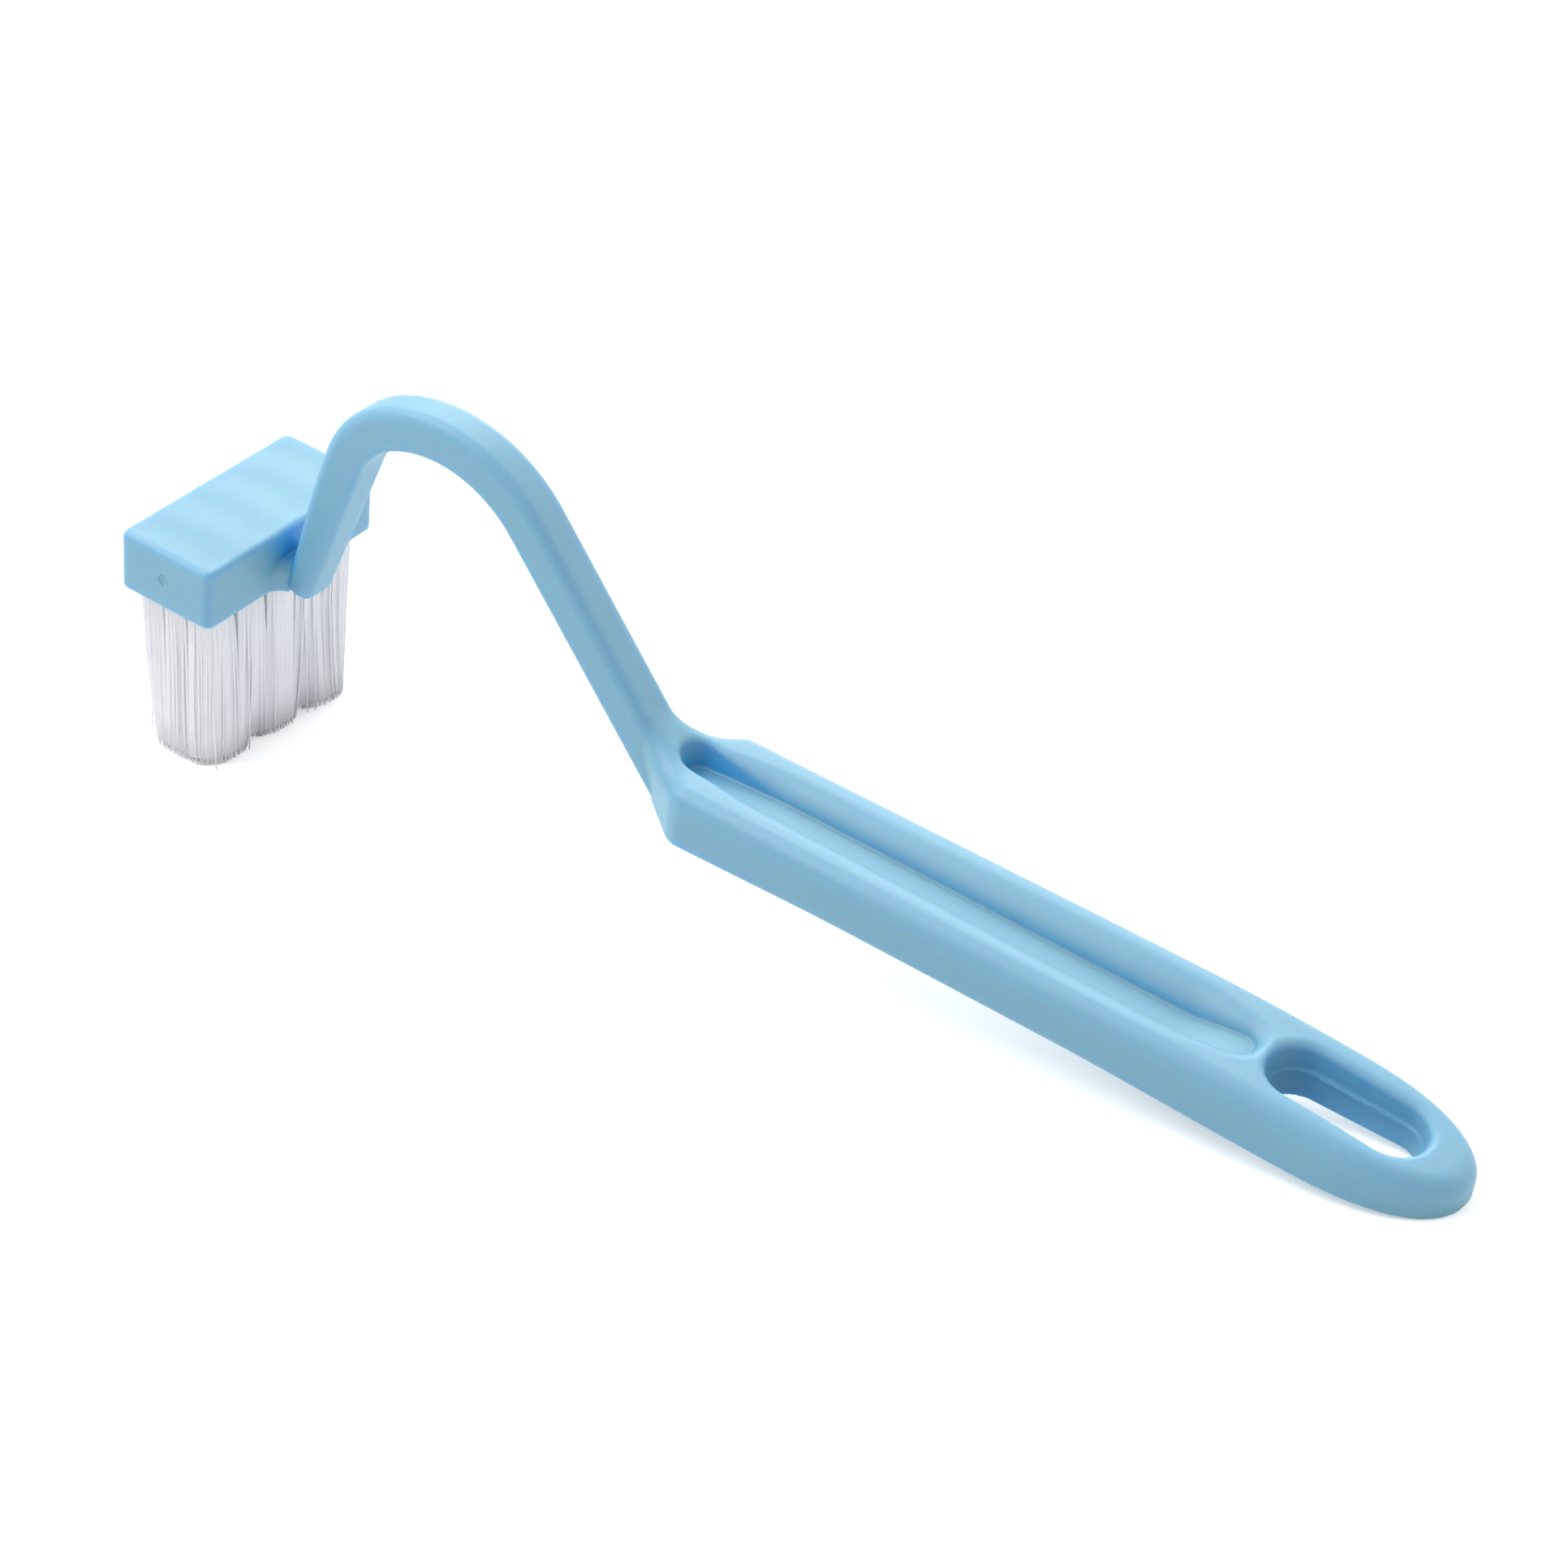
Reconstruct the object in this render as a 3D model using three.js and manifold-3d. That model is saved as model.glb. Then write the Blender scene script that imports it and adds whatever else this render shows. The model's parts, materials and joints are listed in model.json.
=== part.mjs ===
// Toilet brush: a flat grip with a hang slot, an arched neck and a short tufted head.
//
// Millimetres, +Z up. The brush is drawn level, along +X, with the middle of the head's top at zero,
// and is then laid down as it rests on a table: on its front bristles and on the end of its grip.
// The finished group has its origin on the table, under the middle of the brush.

import * as THREE from 'three';
import { mergeGeometries, mergeVertices } from 'three/addons/utils/BufferGeometryUtils.js';
import Module from 'manifold-3d';

const wasm = await Module();
wasm.setup();

// Overall
const overallLength = 214.4;

// Head, a block that lies across the neck
const headDepth = 17.4;
const headWidth = 37;
const headHeight = 9.8;
const headCornerRadius = 1.3;
const headEdgeRadius = 0.8;
const headLowerRadius = 0.4;
const headWaveCount = 4;
const headWaveDepth = 0.35;
const headRim = 1.8;

// Neck, a bar that leans away from the head, turns over in two bends and falls to the grip
const neckWidth = 6.6;
const neckDepth = 6.4;
const neckEdgeRadius = 1.4;
const neckFootSetback = 1.1;
const neckLean = THREE.MathUtils.degToRad(18.6);
const neckRise = 28.7;
const neckFirstBendRadius = 15;
const neckFirstBendTurn = THREE.MathUtils.degToRad(48.5);
const neckSecondBendRadius = 21.5;
const neckFall = THREE.MathUtils.degToRad(48.6);
const gussetWidth = 13;
const gussetReach = 3;
const gussetTopDrop = 2.2;

// Grip
const gripDrop = 3.9;
const gripThickness = 9.2;
const gripStartWidth = 19.2;
const gripEndWidth = 20.2;
const gripTopRadius = 3.6;
const gripBottomRadius = 0.9;
const shoulderLength = 9.5;
const endRoundLength = 19.4;
const endRoundPower = 2.2;
const noseLength = 5;
const topFallStart = 48;
const topFallRadius = 330;

// Groove along the top of the grip
const grooveSetback = 2.4;
const grooveRimWidth = 10.4;
const grooveFloorWidth = 5.2;
const grooveDepth = 2.3;
const grooveFloorDip = 0.2;
const grooveStartLength = 5;
const grooveStartDepth = 0.6;
const grooveRampLength = 26;
const grooveEndLength = 4;
const grooveToSlot = 3.6;

// Hang slot through the end of the grip
const slotWidth = 10.4;
const slotLength = 22.8;
const slotToTip = 8;
const slotRimSize = 0.8;

// Bristle tufts, their anchors and the holes that hold them
const rowCount = 3;
const columnCount = 5;
const strandsPerTuft = 22;
const strandRadius = 0.17;
const bristleLength = 29;
const tuftRadius = 1.7;
const tuftHoleDepth = 6.6;
const tuftFlare = 0.9;
const tipGap = 0.25;
const sliceThickness = 1.4;
const foldThickness = 0.9;
const anchorThickness = 0.5;
const anchorHeight = 1.8;
const anchorBite = 0.4;
const fitClearance = 0.3;
const restFlat = 0.5;

// How finely round shapes are drawn, how far a cut runs past what it cuts,
// and how far a part that is joined on is sunk inside its neighbour
const cornerSteps = 3;
const endSteps = 7;
const closeShare = 0.97;
const mostRound = 0.48;
const waveSteps = 6;
const slotSteps = 8;
const bendStep = THREE.MathUtils.degToRad(8);
const gussetSteps = 6;
const shoulderSteps = 8;
const barrelSteps = 5;
const fallSteps = 6;
const tuftSides = 10;
const weldDistance = 1e-5;
const cutMargin = 2;
const joinSink = 0.1;

// Sizes that follow from the ones above
const headFront = headDepth / 2;
const headUnderside = -headHeight;
const gripTop = -gripDrop;
const gripUnderside = gripTop - gripThickness;
const tipX = overallLength - headDepth / 2;
const endRoundX = tipX - endRoundLength;
const fieldDepth = headDepth - 2 * headRim;
const fieldWidth = headWidth - 2 * headRim;
const rowPitch = (fieldDepth - fitClearance) / rowCount;
const sliceDepth = rowPitch - fitClearance;
const sliceWidth = fieldWidth - 2 * fitClearance;
const columnPitch = (sliceWidth - sliceDepth) / (columnCount - 1);
const holeRadius = tuftRadius + fitClearance;
const holeFloor = headUnderside + tuftHoleDepth;
const tuftTop = holeFloor - fitClearance;
const anchorLength = 2 * (holeRadius + anchorBite);
const anchorMiddle = tuftTop - foldThickness - fitClearance - anchorHeight / 2;
const bristleTrim = headUnderside - bristleLength;

// Materials
const bluePlastic = { color: 0x7fc4e8, roughness: 0.32, metalness: 0 };
const clearNylon = { color: 0xe9e8f2, roughness: 0.4, metalness: 0 };
const anchorSteel = { color: 0xb9bcc0, roughness: 0.35, metalness: 0.9 };

// Solids

function toSolid(geometry) {
  const bare = geometry.clone();
  bare.deleteAttribute('normal');
  bare.deleteAttribute('uv');
  const merged = mergeVertices(bare, weldDistance);
  return new wasm.Manifold(new wasm.Mesh({
    numProp: 3,
    vertProperties: new Float32Array(merged.attributes.position.array),
    triVerts: new Uint32Array(merged.index.array),
  }));
}

function toMesh(name, solid, look) {
  const found = solid.getMesh();
  const geometry = new THREE.BufferGeometry();
  geometry.setAttribute('position', new THREE.BufferAttribute(new Float32Array(found.vertProperties), 3));
  geometry.setIndex(new THREE.BufferAttribute(new Uint32Array(found.triVerts), 1));
  geometry.computeVertexNormals();
  const mesh = new THREE.Mesh(geometry, new THREE.MeshStandardMaterial(look));
  mesh.name = name;
  return mesh;
}

// A closed skin over rings of points that all run the same way round, seen from the last ring
function loft(rings) {
  const count = rings[0].length;
  const points = rings.flat();
  const faces = [];
  for (let ring = 0; ring + 1 < rings.length; ring += 1) {
    for (let k = 0; k < count; k += 1) {
      const a = ring * count + k;
      const b = ring * count + (k + 1) % count;
      faces.push(a, b, b + count, a, b + count, a + count);
    }
  }
  const last = (rings.length - 1) * count;
  for (let k = 1; k + 1 < count; k += 1) {
    faces.push(0, k + 1, k);
    faces.push(last, last + k, last + k + 1);
  }
  const geometry = new THREE.BufferGeometry();
  geometry.setFromPoints(points);
  geometry.setIndex(faces);
  return geometry;
}

function box(sizeX, sizeY, sizeZ, x, y, z) {
  return new THREE.BoxGeometry(sizeX, sizeY, sizeZ).translate(x, y, z);
}

// A shape drawn in plan, raised from one height to another
function raised(shape, low, high) {
  const settings = { depth: high - low, bevelEnabled: false, curveSegments: gussetSteps };
  return new THREE.ExtrudeGeometry(shape, settings).translate(0, 0, low);
}

// Even stations from one place up to another, without the last
function spread(from, to, steps) {
  const values = [];
  for (let k = 0; k < steps; k += 1) {
    values.push(from + ((to - from) * k) / steps);
  }
  return values;
}

// Stations that close up towards the end of a rounded length
function roundedEnd(from, length, share) {
  const values = [];
  for (let k = 0; k <= endSteps; k += 1) {
    values.push(from + length * Math.sin((Math.PI / 2) * share * (k / endSteps)));
  }
  return values;
}

// Outline of a rectangle with round corners, anticlockwise: [across, up] pairs
function roundedOutline(left, right, low, high, lowRadius, highRadius) {
  const corners = [
    { across: right - lowRadius, up: low + lowRadius, radius: lowRadius, from: -Math.PI / 2 },
    { across: right - highRadius, up: high - highRadius, radius: highRadius, from: 0 },
    { across: left + highRadius, up: high - highRadius, radius: highRadius, from: Math.PI / 2 },
    { across: left + lowRadius, up: low + lowRadius, radius: lowRadius, from: Math.PI },
  ];
  return corners.flatMap(({ across, up, radius, from }) => {
    const points = [];
    for (let k = 0; k <= cornerSteps; k += 1) {
      const turn = from + (Math.PI / 2) * (k / cornerSteps);
      points.push([across + radius * Math.cos(turn), up + radius * Math.sin(turn)]);
    }
    return points;
  });
}

// Head: a loft along its width, with round corners in plan and shallow waves along its top

function headSection(y) {
  const fromEnd = headWidth / 2 - Math.abs(y);
  const intoCorner = Math.max(0, headCornerRadius - fromEnd);
  const drawIn = headCornerRadius - Math.sqrt(headCornerRadius ** 2 - intoCorner ** 2);
  const intoEdge = Math.max(0, headEdgeRadius - fromEnd);
  const edgeDrop = headEdgeRadius - Math.sqrt(headEdgeRadius ** 2 - intoEdge ** 2);
  const wave = headWaveDepth * (1 - Math.cos((2 * Math.PI * headWaveCount * y) / headWidth)) / 2;
  const half = headDepth / 2 - drawIn;
  const outline = roundedOutline(
    -half, half, headUnderside, -wave - edgeDrop, headLowerRadius, headEdgeRadius);
  return outline.map(([x, z]) => new THREE.Vector3(-x, y, z));
}

function headBlock() {
  const flatHalf = headWidth / 2 - headCornerRadius;
  const corner = roundedEnd(flatHalf, headCornerRadius, 1);
  const stations = [
    ...corner.map((y) => -y).reverse(),
    ...spread(-flatHalf, flatHalf, waveSteps * headWaveCount).slice(1),
    ...corner,
  ];
  return toSolid(loft(stations.map(headSection)));
}

// Neck: a bar swept along its middle line, with a gusset at its foot

function neckLine() {
  const points = [];
  let heading = Math.PI / 2 - neckLean;
  let x = headFront + neckFootSetback;
  let z = headUnderside;
  const add = () => points.push({ x, z, heading });
  const run = (length) => {
    x += length * Math.cos(heading);
    z += length * Math.sin(heading);
  };
  const bend = (radius, turn) => {
    const steps = Math.ceil(turn / bendStep);
    for (let k = 0; k < steps; k += 1) {
      const half = turn / steps / 2;
      heading -= half;
      run(2 * radius * Math.sin(half));
      heading -= half;
      add();
    }
  };
  run(-cutMargin);
  add();
  run(cutMargin + neckRise);
  add();
  bend(neckFirstBendRadius, neckFirstBendTurn);
  bend(neckSecondBendRadius, heading + neckFall);
  const footOfFall = gripUnderside + (neckDepth / 2) * Math.cos(neckFall);
  run((z - footOfFall) / Math.sin(neckFall));
  add();
  return points;
}

const neckPoints = neckLine();
const neckEnd = neckPoints[neckPoints.length - 1];
const gripStartX = neckEnd.x - (neckDepth / 2) * Math.sin(neckFall);

function neckBar() {
  const outline = roundedOutline(
    -neckWidth / 2, neckWidth / 2, -neckDepth / 2, neckDepth / 2, neckEdgeRadius, neckEdgeRadius);
  const rings = neckPoints.map(({ x, z, heading }) => outline.map(([across, up]) => new THREE.Vector3(
    x - up * Math.sin(heading), across, z + up * Math.cos(heading))));
  const below = box(overallLength, headWidth, headHeight, 0, 0, headUnderside - headHeight / 2);
  return toSolid(loft(rings)).subtract(toSolid(below));
}

function neckGusset() {
  const root = headFront - headRim;
  const reach = headFront + gussetReach;
  const shape = new THREE.Shape();
  shape.moveTo(root, -gussetWidth / 2);
  shape.lineTo(headFront, -gussetWidth / 2);
  shape.quadraticCurveTo(headFront, -neckWidth / 2, reach, -neckWidth / 2 + joinSink);
  shape.lineTo(reach, neckWidth / 2 - joinSink);
  shape.quadraticCurveTo(headFront, neckWidth / 2, headFront, gussetWidth / 2);
  shape.lineTo(root, gussetWidth / 2);
  return toSolid(raised(shape, headUnderside, -gussetTopDrop));
}

// Grip: a loft along its length, flat below and round above

function gripHalfWidth(x) {
  const start = gripStartX + shoulderLength;
  const neckHalf = neckWidth / 2 - joinSink;
  const along = THREE.MathUtils.clamp((x - start) / (endRoundX - start), 0, 1);
  const full = THREE.MathUtils.lerp(gripStartWidth, gripEndWidth, along) / 2;
  const shoulder = THREE.MathUtils.smoothstep(x, gripStartX, start);
  const past = Math.max(0, (x - endRoundX) / endRoundLength);
  const endRound = (1 - past ** endRoundPower) ** (1 / endRoundPower);
  return THREE.MathUtils.lerp(neckHalf, full, shoulder) * endRound;
}

function noseShare(x) {
  const past = Math.max(0, (x - tipX + noseLength) / noseLength);
  return Math.sqrt(1 - past ** 2);
}

// Height of the grip's top before the nose rounds it off
function gripCrown(x) {
  const past = Math.max(0, x - tipX + topFallStart);
  return gripTop - past ** 2 / (2 * topFallRadius);
}

function gripTopAt(x) {
  const middle = (gripCrown(x) + gripUnderside) / 2;
  return middle + (gripCrown(x) - middle) * noseShare(x);
}

function gripUndersideAt(x) {
  const middle = (gripCrown(x) + gripUnderside) / 2;
  return middle + (gripUnderside - middle) * noseShare(x);
}

function gripSection(x) {
  const half = gripHalfWidth(x);
  const low = gripUndersideAt(x);
  const high = gripTopAt(x);
  const most = Math.min(half, high - low) * mostRound;
  const outline = roundedOutline(
    -half, half, low, high, Math.min(gripBottomRadius, most), Math.min(gripTopRadius, most));
  return outline.map(([y, z]) => new THREE.Vector3(x, y, z));
}

function gripStations() {
  const shoulderX = gripStartX + shoulderLength;
  const fallX = tipX - topFallStart;
  const noseX = tipX - noseLength;
  return [
    ...spread(gripStartX, shoulderX, shoulderSteps),
    ...spread(shoulderX, fallX, barrelSteps),
    ...spread(fallX, endRoundX, fallSteps),
    ...spread(endRoundX, noseX, fallSteps),
    ...roundedEnd(noseX, noseLength, closeShare),
  ];
}

function gripBar() {
  return toSolid(loft(gripStations().map(gripSection)));
}

// Groove along the grip: round and steep where it starts, running out before the slot

const slotEndX = tipX - slotToTip;
const slotStartX = slotEndX - slotLength;
const grooveStartX = gripStartX + grooveSetback;
const grooveEndX = slotStartX - grooveToSlot;

function grooveSection(x) {
  const entry = THREE.MathUtils.clamp((x - grooveStartX) / grooveStartLength, 0, 1);
  const ramp = THREE.MathUtils.clamp((grooveEndX - x) / grooveRampLength, 0, 1);
  const close = THREE.MathUtils.clamp((grooveEndX - x) / grooveEndLength, 0, 1);
  const round = Math.sqrt(1 - (1 - entry) ** 2) * Math.sqrt(1 - (1 - close) ** 2);
  const rim = (grooveRimWidth / 2) * round;
  const floor = (grooveFloorWidth / 2) * round;
  const wallMiddle = (rim + floor) / 2;
  const bottom = grooveDepth * Math.sin((Math.PI / 2) * ramp);
  const depth = THREE.MathUtils.lerp(grooveStartDepth * bottom, bottom, round);
  const dip = grooveFloorDip * (depth / grooveDepth);
  const top = gripCrown(x);
  const outline = [
    [-rim, top], [-wallMiddle, top - depth / 2], [-floor, top - depth + dip], [0, top - depth],
    [floor, top - depth + dip], [wallMiddle, top - depth / 2], [rim, top],
    [rim, top + cutMargin], [-rim, top + cutMargin],
  ];
  return outline.map(([y, z]) => new THREE.Vector3(x, y, z));
}

function grooveCut() {
  const rampX = grooveEndX - grooveRampLength;
  const closeX = grooveEndX - grooveEndLength;
  const fullX = grooveStartX + grooveStartLength;
  const entry = roundedEnd(-fullX, grooveStartLength, closeShare).map((x) => -x).reverse();
  const stations = [
    ...entry,
    ...spread(fullX, rampX, barrelSteps).slice(1),
    ...spread(rampX, closeX, fallSteps),
    ...roundedEnd(closeX, grooveEndLength, closeShare),
  ];
  return toSolid(loft(stations.map(grooveSection)));
}

// Hang slot, with a sloping rim that follows the fall of the grip's top

function slotRing(halfWidth, heightAt) {
  const grow = halfWidth - slotWidth / 2;
  const left = slotStartX - grow + halfWidth;
  const right = slotEndX + grow - halfWidth;
  const ring = [];
  for (const [centre, from] of [[right, -Math.PI / 2], [left, Math.PI / 2]]) {
    for (let k = 0; k <= slotSteps; k += 1) {
      const turn = from + (Math.PI * k) / slotSteps;
      const x = centre + halfWidth * Math.cos(turn);
      ring.push(new THREE.Vector3(x, halfWidth * Math.sin(turn), heightAt(x)));
    }
  }
  return ring;
}

function slotCut() {
  const through = loft([
    slotRing(slotWidth / 2, () => gripUnderside - cutMargin),
    slotRing(slotWidth / 2, () => gripTop + cutMargin),
  ]);
  const rim = loft([
    slotRing(slotWidth / 2, (x) => gripCrown(x) - slotRimSize),
    slotRing(slotWidth / 2 + 2 * slotRimSize, (x) => gripCrown(x) + slotRimSize),
  ]);
  return toSolid(through).add(toSolid(rim));
}

// Bristle tufts

const tufts = [];
for (let row = 1; row <= rowCount; row += 1) {
  for (let column = 1; column <= columnCount; column += 1) {
    tufts.push({
      row,
      column,
      x: (row - (rowCount + 1) / 2) * rowPitch,
      y: (column - (columnCount + 1) / 2) * columnPitch,
    });
  }
}

const tipSpreadX = rowPitch / 2 - tipGap;
const tipSpreadY = tuftRadius + tuftFlare;
const frontTipX = ((rowCount - 1) / 2) * rowPitch + tipSpreadX;
const restTipZ = bristleTrim + restFlat;

// Slope of the table under the level brush: it meets the front tips and the end of the grip
const restSlope = Math.min(...gripStations().map(
  (x) => (gripUndersideAt(x) - restTipZ) / (x - frontTipX)));
const tableUnder = (x) => restTipZ + (x - frontTipX) * restSlope;

function strand(tuft, share, turn) {
  const rootReach = (tuftRadius - strandRadius) * share;
  const rootX = tuft.x + rootReach * Math.cos(turn);
  const rootY = tuft.y + rootReach * Math.sin(turn);
  const tipAtX = tuft.x + (tipSpreadX - strandRadius) * share * Math.cos(turn);
  const tipAtY = tuft.y + (tipSpreadY - strandRadius) * share * Math.sin(turn);
  const rootZ = headUnderside + sliceThickness / 2;
  const ring = (x, y, heightAt) => [0, 1, 2].map((k) => {
    const around = turn + (2 * Math.PI * k) / 3;
    const pointX = x + strandRadius * Math.cos(around);
    return new THREE.Vector3(pointX, y + strandRadius * Math.sin(around), heightAt(pointX));
  });
  return loft([
    ring(tipAtX, tipAtY, (x) => Math.max(bristleTrim, tableUnder(x))),
    ring(rootX, rootY, () => rootZ),
  ]);
}

function tuftStrands(tuft) {
  const goldenTurn = Math.PI * (3 - Math.sqrt(5));
  const strands = [];
  for (let k = 0; k < strandsPerTuft; k += 1) {
    strands.push(strand(tuft, Math.sqrt((k + 0.5) / strandsPerTuft), k * goldenTurn));
  }
  return mergeGeometries(strands);
}

function cylinder(radius, low, high, x, y) {
  const geometry = new THREE.CylinderGeometry(radius, radius, high - low, tuftSides);
  return geometry.rotateX(Math.PI / 2).translate(x, y, (low + high) / 2);
}

function anchorBox(tuft, clearance) {
  return box(
    anchorThickness + 2 * clearance, anchorLength + 2 * clearance, anchorHeight + 2 * clearance,
    tuft.x, tuft.y, anchorMiddle);
}

// One row of tufts on the slice of the head's underside that they stand in
function bristleRow(row) {
  const rowTufts = tufts.filter((tuft) => tuft.row === row);
  const middleZ = headUnderside + sliceThickness / 2;
  let solid = toSolid(box(sliceDepth, sliceWidth, sliceThickness, rowTufts[0].x, 0, middleZ));
  for (const tuft of rowTufts) {
    const root = toSolid(cylinder(tuftRadius, middleZ, tuftTop, tuft.x, tuft.y));
    solid = solid.add(root).subtract(toSolid(anchorBox(tuft, fitClearance)));
  }
  return solid.add(toSolid(mergeGeometries(rowTufts.map(tuftStrands))));
}

// Body: head, neck and grip as one moulding, with the cuts that the other pieces sit in

function mouldedBody() {
  let body = gripBar().subtract(grooveCut()).subtract(slotCut());
  body = body.add(neckBar()).add(neckGusset()).add(headBlock());
  const pocketDepth = sliceThickness + fitClearance;
  const pocketMiddle = headUnderside + pocketDepth / 2 - cutMargin / 2;
  body = body.subtract(toSolid(box(fieldDepth, fieldWidth, pocketDepth + cutMargin, 0, 0, pocketMiddle)));
  for (const tuft of tufts) {
    const hole = toSolid(cylinder(holeRadius, headUnderside, holeFloor, tuft.x, tuft.y));
    body = body.subtract(hole).subtract(toSolid(anchorBox(tuft, fitClearance)));
  }
  return body;
}

// The whole brush, drawn level and then laid on the table

const level = new THREE.Group();
level.add(toMesh('moulded_body', mouldedBody(), bluePlastic));
for (let row = 1; row <= rowCount; row += 1) {
  level.add(toMesh(`bristle_row_${row}`, bristleRow(row), clearNylon));
}
for (const tuft of tufts) {
  level.add(toMesh(`anchor_r${tuft.row}_c${tuft.column}`, toSolid(anchorBox(tuft, 0)), anchorSteel));
}
level.rotation.y = Math.atan(restSlope);

const brush = new THREE.Group();
brush.add(level);
brush.updateMatrixWorld(true);
const bounds = new THREE.Box3().setFromObject(brush, true);
const middle = bounds.getCenter(new THREE.Vector3());
level.position.set(-middle.x, -middle.y, -bounds.min.z);

export default brush;
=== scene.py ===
"""Looks of a toilet brush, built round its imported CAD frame.

Shapes are worked out in millimetres along the level brush: +X from the head to the end of the grip,
+Y across the head, +Z up, with zero at the middle of the head's top. They are then laid down as the
CAD model lies, on the tips of the front bristles and on the end of the grip.
"""

import json
import math
from types import SimpleNamespace
import bpy
import numpy as np
from bpy.props import FloatProperty, FloatVectorProperty, IntProperty, PointerProperty
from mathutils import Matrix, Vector


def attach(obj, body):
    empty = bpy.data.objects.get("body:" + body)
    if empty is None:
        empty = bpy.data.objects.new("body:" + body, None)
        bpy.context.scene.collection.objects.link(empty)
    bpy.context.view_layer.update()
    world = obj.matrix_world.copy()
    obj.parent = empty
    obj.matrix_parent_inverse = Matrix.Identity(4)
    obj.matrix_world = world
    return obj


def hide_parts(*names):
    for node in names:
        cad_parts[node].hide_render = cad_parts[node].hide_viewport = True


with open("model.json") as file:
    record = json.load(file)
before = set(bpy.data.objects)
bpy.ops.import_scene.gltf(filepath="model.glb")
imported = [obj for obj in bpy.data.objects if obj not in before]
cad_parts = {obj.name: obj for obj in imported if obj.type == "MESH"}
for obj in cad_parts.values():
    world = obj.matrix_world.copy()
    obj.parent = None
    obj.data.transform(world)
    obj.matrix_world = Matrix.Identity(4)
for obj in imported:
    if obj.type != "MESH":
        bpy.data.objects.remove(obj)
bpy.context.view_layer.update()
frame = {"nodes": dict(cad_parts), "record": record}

bl_info = {
    "name": "Toilet Brush",
    "version": (1, 0, 0),
    "blender": (4, 5, 0),
    "location": "3D View > Sidebar > Toilet Brush",
    "description": "Builds a small toilet brush with an arched neck round its CAD frame",
    "category": "Add Mesh",
}

BODY = "root"
MM = 0.001


# Settings that a user would change


def length(name, description, millimetres):
    return FloatProperty(
        name=name, description=description, default=millimetres * MM, precision=5, unit="LENGTH")


def angle(name, description, degrees):
    return FloatProperty(
        name=name, description=description, default=math.radians(degrees), subtype="ANGLE", unit="ROTATION")


def number(name, description, value):
    return FloatProperty(name=name, description=description, default=value)


def count(name, description, value):
    return IntProperty(name=name, description=description, default=value, min=1)


def colour(name, description, value):
    return FloatVectorProperty(
        name=name, description=description, default=value, size=3, min=0.0, max=1.0, subtype="COLOR")


class HeadSizes(bpy.types.PropertyGroup):
    """The block that carries the bristles"""

    depth: length("Depth", "Size of the head along the brush", 17.4)
    width: length("Width", "Size of the head across the brush", 37.0)
    height: length("Height", "Thickness of the head", 9.8)
    corner_radius: length("Corner radius", "Round of the upright edges next to the neck", 1.4)
    back_radius: length("Back corner radius", "Round of the upright edges away from the neck", 1.6)
    edge_radius: length("Top edge radius", "Round of the top edges", 1.1)
    lower_radius: length("Lower edge radius", "Round of the lower edges", 0.7)
    wave_count: count("Waves", "Shallow waves along the top of the head", 4)
    wave_depth: length("Wave depth", "Depth of the waves", 0.16)
    wave_arc: length("Wave arc", "How far a wave bows over half the depth of the head", 1.1)
    wave_border: length("Wave border", "Margin over which the waves die out", 2.6)
    gate_radius: length("Gate radius", "Round mark left by the mould's gate", 0.9)
    gate_depth: length("Gate depth", "Depth of the gate mark", 0.25)


class NeckSizes(bpy.types.PropertyGroup):
    """The arched bar between the head and the grip"""

    width: length("Width", "Size of the neck across the brush", 6.9)
    depth: length("Depth", "Thickness of the neck in its own plane", 6.7)
    outer_radius: length("Outer edge radius", "Round of the long edges over the arch", 1.8)
    inner_radius: length("Inner edge radius", "Round of the long edges under the arch", 1.2)
    foot_setback: length("Foot setback", "Middle of the foot in front of the head", 1.8)
    foot_depth: length("Foot depth", "Thickness of the neck at its foot", 4.8)
    foot_drop: length("Foot drop", "Square end of the foot below the head", -0.8)
    foot_radius: length("Foot radius", "Round of the foot's end", 1.0)
    foot_round: length("Foot round", "Round of the foot's long edges away from the head", 1.8)
    lean: angle("Lean", "Lean of the rising leg away from the head", 18.6)
    rise: length("Rise", "Straight length of the rising leg", 28.7)
    first_radius: length("First bend radius", "Radius of the bend over the head", 15.0)
    first_turn: angle("First bend turn", "Turn of the bend over the head", 48.5)
    second_radius: length("Second bend radius", "Radius of the bend over the arch", 21.5)
    fall: angle("Fall", "Slope of the falling leg below level", 48.6)
    gusset_width: length("Gusset width", "Width of the foot's gusset on the head", 13.0)
    gusset_inset: length("Gusset inset", "Gusset's web inside the sides of the foot", 0.3)
    gusset_radius: length("Gusset radius", "Hollow round beside the foot", 2.6)
    gusset_drop: length("Gusset drop", "Top of the gusset below the head's top", 4.6)
    gusset_edge: length("Gusset edge", "Round of the gusset's top", 2.0)


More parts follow.
